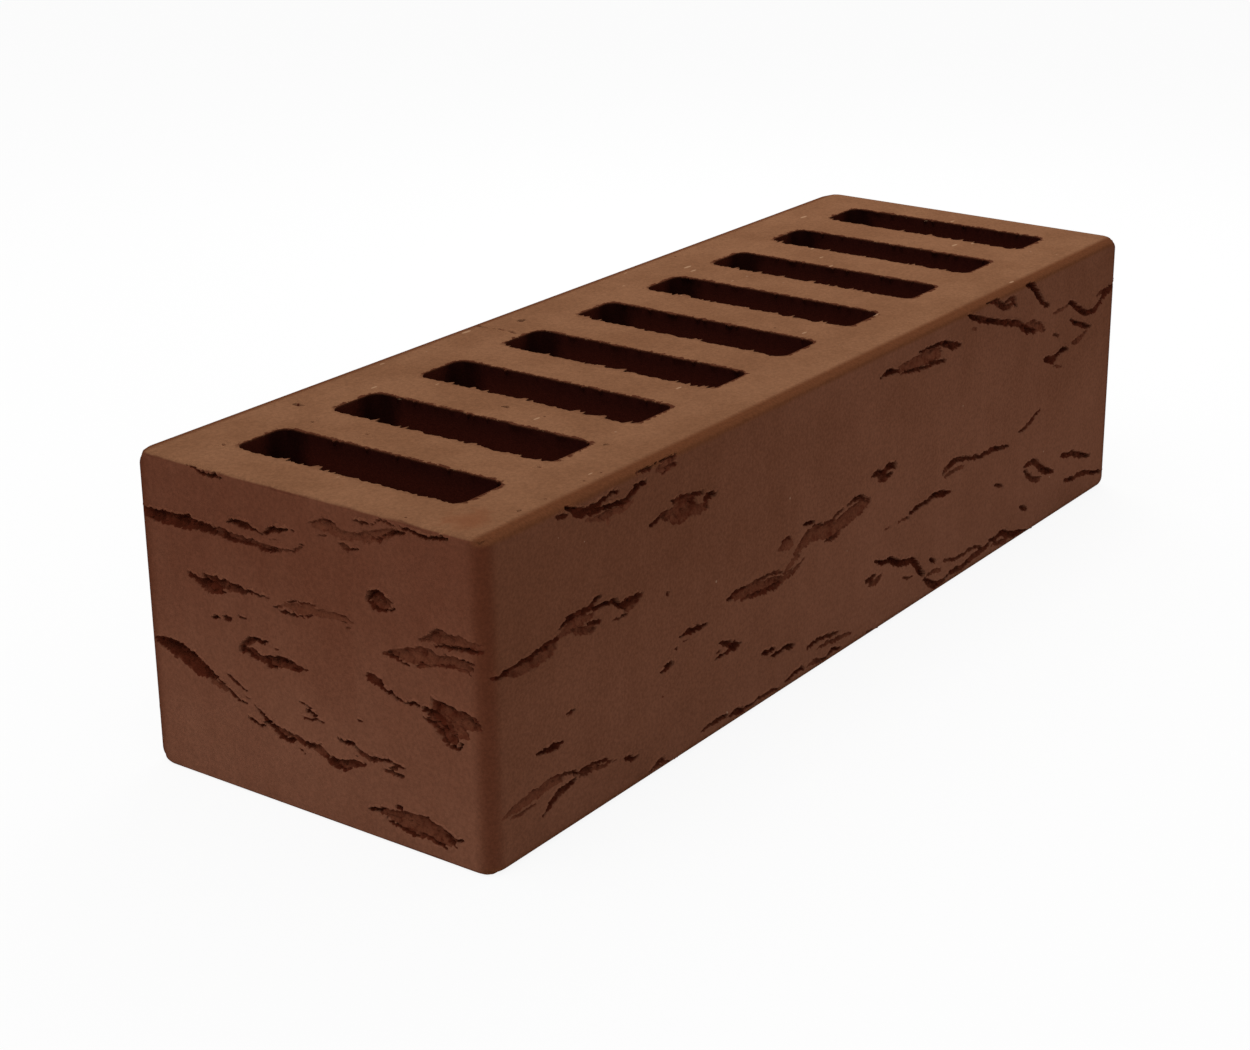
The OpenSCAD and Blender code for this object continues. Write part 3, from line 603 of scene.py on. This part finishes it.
radius = given["Corner radius"]
wear_reach = radius * 1.5
worn = ramp(past(0, wear_reach).by("MINIMUM", past(1, wear_reach)), 0.0, 1.0)
near_front = from_middle[0].by("LESS_THAN", 0.0) * from_middle[1].by("LESS_THAN", 0.0)
wear = worn * ramp(near_front, 0.0, 1.0, 1.0, given["Front corner share"]) * given["Corner wear"]
x, y = ease(from_middle[0], from_middle[1], half[0], half[1], radius, radius)
y, z = ease(y, from_middle[2], half[1], half[2], given["Stretcher reach"], given["Stretcher drop"] + wear)
x, z = ease(x, z, half[0], half[2], given["Header reach"] + wear, given["Header drop"] + wear)
brick = grown("SetPosition", {"Geometry": brick, "Position": joined(X=x, Y=y, Z=z) + lift})

# Tears: a trough is swept along each path, as deep as its share, and the face sinks to its floor.
tear_step = 0.3 * mm
full_depth = 3 * mm
paths = put(body, "GeometryNodeObjectInfo", {"Object": given["Tears"]})["Geometry"]
paths = grown("MeshToCurve", {"Mesh": paths})
paths = grown("CurveSplineType", {"Curve": paths}, spline_type="CATMULL_ROM")
paths = grown("ResampleCurve", {"Curve": paths, "Length": tear_step}, mode="LENGTH")
bite = kept("bite", "FLOAT_VECTOR")
breadth = kept("half_breadth")
paths = grown("SetCurveNormal", {"Curve": paths, "Normal": bite}, mode="FREE")
profile = put(body, "GeometryNodeObjectInfo", {"Object": trough_outline})["Geometry"]
profile = grown("MeshToCurve", {"Mesh": profile})
troughs = grown("CurveToMesh", {"Curve": paths, "Profile Curve": profile, "Scale": breadth,
                                "Fill Caps": True})
deeper = (bite.by("LENGTH") * full_depth - breadth) * kept("out")
troughs = grown("SetPosition", {"Geometry": troughs, "Offset": bite.by("NORMALIZE").scaled(deeper)})

# Ragged lips: each point of a face looks for a trough a little off its own place, straight below the face.
normal = grown("InputNormal")
ragged = (cloud(seeded, 450.0, 5.0, 0.7, "Color") - (0.5, 0.5, 0.5)).scaled(given["Ragged"])
streaks = cloud(seeded * (1, 1, 0.2), 1300.0, 3.0, 0.6)
fibrous = ramp(cloud(seeded, 90.0), 0.4, 0.6)
strayed = ragged + joined(Z=(streaks - 0.5) * fibrous * given["Fibre"])
leaning = parted(normal.by("ABSOLUTE"))
tie_margin = 0.001
most = leaning[0].by("MAXIMUM", leaning[1]).by("MAXIMUM", leaning[2]) - tie_margin
nearest_axis = {axis: part.by("GREATER_THAN", most) for axis, part in zip("XYZ", leaning)}
straight = normal.by("SIGN") * joined(**nearest_axis)
strayed = place + (strayed - straight.scaled(strayed.by("DOT_PRODUCT", straight)))
probe_reach = 10 * mm
lip_breadth = 0.4 * mm


def probed(where, value):
    """Meets the troughs from inside the clay, straight under a point of a face, and reads a vector there."""
    inputs = {"Target Geometry": troughs, "Attribute": value, "Ray Direction": straight,
              "Ray Length": probe_reach, "Source Position": where - straight.scaled(probe_reach)}
    return put(body, "GeometryNodeRaycast", inputs, data_type="FLOAT_VECTOR")


probe = probed(strayed, bite)
trough_place = probed(strayed, joined(X=kept("across"), Y=breadth))["Attribute"]
across_tear, tear_breadth = parted(trough_place)[:2]
below = probed(strayed - (0, 0, lip_breadth), bite)
raised_lip = (below["Is Hit"] - probe["Is Hit"]).by("MAXIMUM", 0.0)
raised_lip = raised_lip * ramp(below["Attribute"].by("DOT_PRODUCT", straight), 0.0, 1.0)
share = probe["Attribute"].by("LENGTH")
least_share = 0.01
facing = probe["Attribute"].by("DOT_PRODUCT", straight) / share.by("MAXIMUM", least_share)
facing = ramp(facing, 0.4, 0.7) * probe["Is Hit"]
trough_depth = probe_reach - probe["Hit Distance"]

# The floor breaks into flakes of their own depth, strewn with crumbs. A narrow tear stays shallow.
flake_wander = 1.6 * mm
flake_spot = seeded + cloud(seeded, 500.0, 3.0, output="Color").scaled(flake_wander)
flakes = put(body, "ShaderNodeTexVoronoi", {"Vector": flake_spot, "Scale": 330.0})["Color"]
flake = ramp(parted(flakes)[0], 0.0, 1.0, 0.55, 1.15)
crumb = ramp(cloud(seeded, 1100.0, 3.0, 0.65), 0.3, 0.7, 0.65, 1.3)
narrow = ramp(tear_breadth, 0.1 * mm, 0.6 * mm, 0.35, 1.0)
sunk = trough_depth / full_depth * (facing * narrow) * (crumb * flake)
marks = {"torn_away": facing, "tear_share": share * facing, "across_tear": across_tear, "sunk": sunk,
         "raised_lip": raised_lip}
for name, value in marks.items():
    brick = stored(brick, name, value)
lip_height = 0.12
to_corner = (half[0] - abs(from_middle[0])).by("MAXIMUM", half[1] - abs(from_middle[1]))
move = kept("raised_lip") * lip_height - kept("sunk")
move = move * ramp(to_corner, 0.5 * mm, 4.0 * mm, 0.2, 1.0)
brick = grown("SetPosition", {"Geometry": brick, "Offset": normal.scaled(move * given["Tear depth"])})
brick = grown("RealizeInstances", {"Geometry": brick})
brick = grown("SetMaterial", {"Geometry": brick, "Material": given["Material"]})
body.links.new(brick.socket, result["Brick"])

# Fired clay: velvet chocolate brown with fine grit, paler and sandier where the wire cut the beds.
clay.use_nodes = True
shade = clay.node_tree
surface = shade.nodes["Principled BSDF"]


def srgb(red, green, blue):
    """A colour given by its screen values, 0 to 255, as the linear light that a shader takes."""
    def linear(value):
        value /= 255
        return value / 12.92 if value <= 0.04045 else ((value + 0.055) / 1.055) ** 2.4
    return (linear(red), linear(green), linear(blue), 1.0)


def mixed(factor, first, second, blend="MIX"):
    """A mix of two colours, which are inputs 6 and 7 and output 2 of the node."""
    inputs = {0: factor, 6: first, 7: second}
    return put(shade, "ShaderNodeMix", inputs, data_type="RGBA", blend_type=blend)[2]


spot = put(shade, "ShaderNodeTexCoord")["Object"]
along, depthwise, rise = parted(spot)
from_middle_x, from_middle_y = abs(along), abs(depthwise)
half_length, half_width, half_height = brick_length / 2, brick_width / 2, brick_height / 2
to_bed = half_height - abs(rise - half_height)
grain = cloud(spot, 1500.0, 3.0, 0.7)
patches = cloud(spot, 60.0, 4.0, 0.6)
drawn_streaks = cloud(spot * (1, 1, 0.12), 220.0, 3.0, 0.55)

# The drawn faces are a dull red brown with random dusty patches and streaks. Painted light makes them paler
# towards the lower bed and along the middle of the stretchers, and painted shade darkens the rounded upright
# corners.
header_colour, stretcher_colour, painted_light_and_dusty_colour = srgb(98, 57, 41), srgb(97, 59, 42), srgb(114, 73, 55)
corner_shade_colour = srgb(78, 39, 24)
painted_light_middle = 35 * mm
on_header = ramp(from_middle_x, half_length - 3.0 * mm, half_length - 1.0 * mm)
# Painted light: paler towards the lower bed, as if lit from the floor.
painted_light_and_dust = ramp(rise, 62 * mm, 0.0) * (on_header * 0.4 + 0.55)
# The clay's own dust, in random patches and streaks.
painted_light_and_dust = painted_light_and_dust + ramp(drawn_streaks * 0.3 + patches * 0.7, 0.3, 0.7, -0.2, 0.2)
# Painted light: paler along the middle of the stretchers.
painted_light_and_dust = painted_light_and_dust + ramp(abs(along - painted_light_middle), 110 * mm, 30 * mm, 0.0, 0.35)
colour = mixed(painted_light_and_dust, mixed(on_header, stretcher_colour, header_colour), painted_light_and_dusty_colour)
# Painted shade on the rounded upright corners.
shaded_corner_x = ramp(from_middle_x, half_length - 4.5 * mm, half_length - 1.0 * mm)
shaded_corner_y = ramp(from_middle_y, half_width - 4.5 * mm, half_width - 1.0 * mm)
colour = mixed(shaded_corner_x * shaded_corner_y * 0.75, colour, corner_shade_colour)

# The wire leaves the beds paler and sandy, and a dark broken line of painted shadow, as if cast by its burr,
# runs where it leaves the headers.
bed_dark, bed_light, burr_shadow_colour = srgb(119, 81, 57), srgb(127, 88, 63), srgb(78, 40, 28)
bed_mask = ramp(to_bed, 0.55 * mm, 0.25 * mm)
colour = mixed(bed_mask, colour, mixed(ramp(patches, 0.35, 0.65), bed_dark, bed_light))
wobble = cloud(spot, 160.0, 4.0, 0.6) * (0.9 * mm)
header_x = ramp(from_middle_x, half_length - 0.75 * mm, half_length - 0.5 * mm)
broken = ramp(cloud(spot, 90.0, 2.0), 0.4, 0.65, 0.1, 0.6)
# Painted shadow: a dark broken line under the burr along the top of the headers.
colour = mixed(ramp(abs(to_bed - wobble), 0.3 * mm, 0.1 * mm) * header_x * broken, colour, burr_shadow_colour)

# Painted shade turns the eased stretcher edges a darker, yellower brown.
eased_edge_shade_colour = srgb(95, 56, 35)
shaded_edge_y = ramp(from_middle_y, half_width - 3.4 * mm, half_width - 1.6 * mm)
shaded_edge_z = ramp(to_bed - wobble, 1.5 * mm, 0.3 * mm)
colour = mixed(shaded_edge_y * shaded_edge_z, colour, eased_edge_shade_colour)

# The slots' walls are drawn smooth. Painted shade makes them almost black, with a painted shadow deepest in
# each slot's far corner, and the bed is darker in a frayed fringe along their edges.
slot_fringe_colour, wall_shade_top, wall_shade_deep = srgb(66, 29, 18), srgb(46, 17, 12), srgb(63, 24, 16)
end_wall_shade_colour, far_corner_shadow_colour = srgb(62, 25, 16), srgb(24, 8, 6)
from_first = along - first_slot_x
nearest_slot = from_first - (from_first / slot_pitch).by("ROUND") * slot_pitch
out_x = abs(nearest_slot) - (slot_width / 2 - slot_corner)
out_y = from_middle_y - (slot_length / 2 - slot_corner)
out_xy = joined(X=out_x.by("MAXIMUM", 0.0), Y=out_y.by("MAXIMUM", 0.0))
to_slot = out_xy.by("LENGTH") - slot_corner + out_x.by("MAXIMUM", out_y).by("MINIMUM", 0.0)
inside_rows = from_middle_x.by("LESS_THAN", half_length - 10 * mm)
frayed = cloud(spot, 650.0, 4.0, 0.7) * (4.0 * mm)
# A darker frayed fringe along the slot edges, heaviest along the far edge.
slot_fringe = ramp(to_slot + 1.6 * mm - frayed, 0.3 * mm, 0.0) * inside_rows
slot_fringe = slot_fringe * ramp(nearest_slot, -slot_width / 2, slot_corner - slot_width / 2, 0.15, 0.85)
colour = mixed(slot_fringe, colour, slot_fringe_colour)
# Painted shade on the slot walls and their end walls.
slot_wall_shade = mixed(ramp(to_bed, 0.5 * mm, 6.0 * mm), wall_shade_top, wall_shade_deep)
end_wall = ramp(from_middle_y, slot_length / 2 - 1.6 * mm, slot_length / 2 - 0.6 * mm)
slot_wall_shade = mixed(end_wall, slot_wall_shade, end_wall_shade_colour)
# Painted shadow in each slot's far corner.
to_far_corner = joined(X=slot_width / 2 - nearest_slot, Y=slot_length / 2 - depthwise)
far_corner_shadow = ramp(to_far_corner.by("LENGTH") - frayed, 5.5 * mm, 1.0 * mm, 0.0, 0.8)
slot_wall_shade = mixed(far_corner_shadow, slot_wall_shade, far_corner_shadow_colour)
slot_mask = ramp(to_slot, 1.6 * mm, 1.2 * mm) * ramp(to_bed, 0.05 * mm, 0.4 * mm) * inside_rows
colour = mixed(slot_mask, colour, slot_wall_shade)

# Torn clay keeps the face's brown on shallow floors and darkens with depth, partly its own darker clay and
# partly painted shade. Painted shadow makes it darkest under its lips, and a painted highlight lightens the
# raised lips.
shallow_colour, deep_clay_and_shade_colour = srgb(94, 53, 37), srgb(72, 31, 19)
shadow_colour, crumb_colour, lip_highlight_colour = srgb(65, 27, 16), srgb(62, 26, 15), srgb(134, 88, 64)
read_marks = ("torn_away", "tear_share", "across_tear", "raised_lip")
mark = {name: put(shade, "ShaderNodeAttribute", attribute_name=name)["Fac"] for name in read_marks}
crumbs = cloud(spot, 900.0, 3.0, 0.6)
uneven = cloud(spot, 330.0, 4.0, 0.6)
mottled = (crumbs - 0.5) * 0.8 + ((uneven - 0.5) * 1.2 + mark["tear_share"])
# Deeper floors darken: partly the clay's own darker colour, partly painted shade.
floor_tone = mixed(ramp(mottled, 0.2, 0.95), shallow_colour, deep_clay_and_shade_colour)
upper_lip = ramp(mark["across_tear"], -0.25, -0.8)
lower_lip = ramp(mark["across_tear"], 0.55, 0.95, 0.0, 0.6)
under_lip = upper_lip.by("MAXIMUM", lower_lip) * ramp(uneven, 0.36, 0.58, 0.15, 1.0)
under_lip = under_lip * ramp(crumbs, 0.35, 0.6, 0.35, 1.0) * ramp(mark["tear_share"], 0.1, 0.7, 0.25, 1.0)
# Painted shadow under the lips.
floor_tone = mixed(under_lip, floor_tone, shadow_colour)
floor_tone = mixed(ramp(crumbs, 0.55, 0.7, 0.0, 0.4), floor_tone, crumb_colour)
colour = mixed(ramp((crumbs - 0.5) * 0.9 + mark["torn_away"], 0.35, 0.6), colour, floor_tone)
# Painted highlight on the raised lips.
colour = mixed(mark["raised_lip"] * ramp(crumbs, 0.45, 0.65, 0.0, 0.3), colour, lip_highlight_colour)

# Grit: each grain a little lighter or darker, and a few pale specks of sand.
sand_colour = srgb(176, 146, 122)
tone = ramp(grain, 0.25, 0.75, 0.85, 1.15)
grey_tone = put(shade, "ShaderNodeCombineColor", {0: tone, 1: tone, 2: tone})[0]
colour = mixed(1.0, colour, grey_tone, "MULTIPLY")
speck = put(shade, "ShaderNodeTexVoronoi", {"Vector": spot, "Scale": 260.0})
speck_chance = put(shade, "ShaderNodeSeparateColor", {0: speck["Color"]})[0]
specks = speck["Distance"].by("LESS_THAN", ramp(speck_chance, 0.88, 1.0, 0.0, 0.08))
colour = mixed(specks * (slot_mask * -0.3 + 0.3), colour, sand_colour)


def strewn(where, scale, chance, radius):
    """Marks strewn over the bed: the share of cells that have one, and its radius as a share of the cell."""
    cell = put(shade, "ShaderNodeTexVoronoi", {"Vector": where, "Scale": scale})
    draw = put(shade, "ShaderNodeSeparateColor", {0: cell["Color"]})[1]
    return ramp(ramp(draw, 1.0 - chance, 1.0, 0.0, radius) - cell["Distance"], 0.0, 0.03) * bed_mask


# The upper bed is scratched and pitted, with small pits shown as dark dots of painted shade, and one rusty
# stain close to its near front corner.
scratch_colour, stain_colour, pit_shade_colour = srgb(162, 126, 98), srgb(116, 68, 44), srgb(58, 28, 18)
stain_place = (low.x + 7 * mm, high.y - 76 * mm, brick_height)
colour = mixed(strewn(spot * (0.3, 1, 1), 330.0, 0.45, 0.16) * 0.75, colour, scratch_colour)
stain = (spot - stain_place).by("LENGTH") * ramp(uneven, 0.3, 0.7, 0.6, 1.4)
colour = mixed(ramp(stain, 6 * mm, 1 * mm, 0.0, 0.55), colour, stain_colour)
# Painted shade: dark dots for small pits.
colour = mixed(strewn(spot, 210.0, 0.4, 0.08) * 0.7, colour, pit_shade_colour)
shade.links.new(colour.socket, surface.inputs["Base Color"])
surface.inputs["Roughness"].default_value = 1.0
surface.inputs["Specular IOR Level"].default_value = 0.0
grit_height = cloud(spot, 2800.0, 3.0, 0.65) + crumbs * mark["torn_away"] * 2.5
bump = put(shade, "ShaderNodeBump", {"Height": grit_height, "Strength": 0.35, "Distance": 0.25 * mm})[0]
shade.links.new(bump.socket, surface.inputs["Normal"])

# The tree makes the mesh, which is thinned to the triangles that its tears need and freed of slivers.
triangle_limit = 190000
carrier = placed("brick_carrier", bpy.data.meshes.new("brick_carrier"))
carrier.data.materials.append(clay)
maker = carrier.modifiers.new("brick_body", "NODES")
maker.node_group = body
for item in body.interface.items_tree:
    if item.item_type == "SOCKET" and item.in_out == "INPUT":
        maker[item.identifier] = body_values[item.name]


def made_real(owner):
    """The plain mesh that an object shows with its modifiers."""
    shown = owner.evaluated_get(bpy.context.evaluated_depsgraph_get())
    return bpy.data.meshes.new_from_object(shown)


fired_brick = placed("fired_brick", made_real(carrier))
fired_brick.data.calc_loop_triangles()
thin = fired_brick.modifiers.new("thin", "DECIMATE")
thin.ratio = triangle_limit / len(fired_brick.data.loop_triangles)
thin.use_collapse_triangulate = True
fired_brick.data = made_real(fired_brick)
fired_brick.modifiers.clear()
skin = bmesh.new()
skin.from_mesh(fired_brick.data)
slivers = [face for face in skin.faces if any(edge.is_boundary for edge in face.edges)]
bmesh.ops.delete(skin, geom=slivers, context="FACES")
skin.to_mesh(fired_brick.data)
skin.free()
fired_brick.data.polygons.foreach_set("use_smooth", [True] * len(fired_brick.data.polygons))
fired_brick.data.set_sharp_from_angle(angle=math.radians(35))
for helper in (carrier, tear_paths, trough_outline):
    bpy.data.objects.remove(helper)
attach(fired_brick, "root")
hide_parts("brick")


# The floor
# A plain pale studio sheet that the brick lies on. It takes the shadow and shows white to the camera.
half_floor = 4.0
floor_drop = 0.1 * mm
whiteness = 0.9
floor_mesh = bpy.data.meshes.new("floor")
corners = [Vector((x, y, 0)) * half_floor for x, y in ((-1, -1), (1, -1), (1, 1), (-1, 1))]
floor_mesh.from_pydata(corners, [], [(0, 1, 2, 3)])
floor = placed("floor", floor_mesh)
floor.location.z = -floor_drop
paper = bpy.data.materials.new("pale_paper")
paper.use_nodes = True
sheet = paper.node_tree
sheet_finish = sheet.nodes["Principled BSDF"]
sheet_finish.inputs["Base Color"].default_value = (0.85, 0.85, 0.85, 1)
sheet_finish.inputs["Roughness"].default_value = 0.9
sheet_finish.inputs["Specular IOR Level"].default_value = 0.0


def seen(tree):
    """1 for rays from the camera, straight or by a mirror or glass, and 0 for light that falls on things."""
    ray = put(tree, "ShaderNodeLightPath")
    mirrored = ray["Is Glossy Ray"].by("MAXIMUM", ray["Is Transmission Ray"])
    return ray["Is Camera Ray"].by("MAXIMUM", mirrored)


glow = put(sheet, "ShaderNodeEmission", {"Color": (1, 1, 1, 1), "Strength": 1.0})[0]
dull = Wire(sheet, sheet_finish.outputs[0])
white_sheet = put(sheet, "ShaderNodeMixShader", {0: seen(sheet) * whiteness, 1: dull, 2: glow})[0]
sheet.links.new(white_sheet.socket, sheet.nodes["Material Output"].inputs["Surface"])
floor_mesh.materials.append(paper)


# The light
# A soft even studio: a pale surround, one large soft lamp high up and to the left of the camera, and
# a small one above and beyond the far end of the brick.
world = bpy.data.worlds.new("studio")
bpy.context.scene.world = world
world.use_nodes = True
surround = world.node_tree.nodes["Background"]
surround.inputs["Color"].default_value = (1, 1, 1, 1)
surround_light = 0.55
shown_or_lit = ramp(seen(world.node_tree), 0.0, 1.0, surround_light, 1.0)
world.node_tree.links.new(shown_or_lit.socket, surround.inputs["Strength"])


def soft_lamp(name, size, watts, place):
    """A square soft lamp that looks at the brick."""
    lamp_data = bpy.data.lights.new(name, "AREA")
    lamp_data.shape = "SQUARE"
    lamp_data.size = size
    lamp_data.energy = watts
    lamp = placed(name, lamp_data)
    lamp.location = place
    lamp.rotation_euler = (-lamp.location).to_track_quat("-Z", "Y").to_euler()


soft_lamp("key_lamp", 2.0, 27.0, (-0.95, -0.1, 2.2))
soft_lamp("far_lamp", 0.3, 0.7, (0.3, 0.15, 0.35))


# The camera
# It looks down on the near corner of the brick, from the left of the front stretcher.
image_width, image_height = 1250, 1050
azimuth, elevation, roll = math.radians(-55.4), math.radians(19.89), math.radians(-0.06)
distance = 549 * mm
focal_pixels = 2461
centre_x, centre_y = 693.9, 468.2
target = Vector((0, 0, half_height))
back = Vector((math.sin(azimuth) * math.cos(elevation), -math.cos(azimuth) * math.cos(elevation),
               math.sin(elevation)))
level_right = Vector((math.cos(azimuth), math.sin(azimuth), 0))
level_up = back.cross(level_right)
right = level_right * math.cos(roll) + level_up * math.sin(roll)
up = level_up * math.cos(roll) - level_right * math.sin(roll)
camera_data = bpy.data.cameras.new("camera")
camera_data.sensor_fit = "HORIZONTAL"
camera_data.sensor_width = 36.0
camera_data.lens = camera_data.sensor_width * focal_pixels / image_width
camera_data.shift_x = (image_width / 2 - centre_x) / image_width
camera_data.shift_y = (centre_y - image_height / 2) / image_width
camera = placed("camera", camera_data)
turn = Matrix((right, up, back)).transposed().to_4x4()
camera.matrix_world = Matrix.Translation(target + back * distance) @ turn
bpy.context.scene.camera = camera
bpy.context.scene.view_settings.view_transform = "Standard"
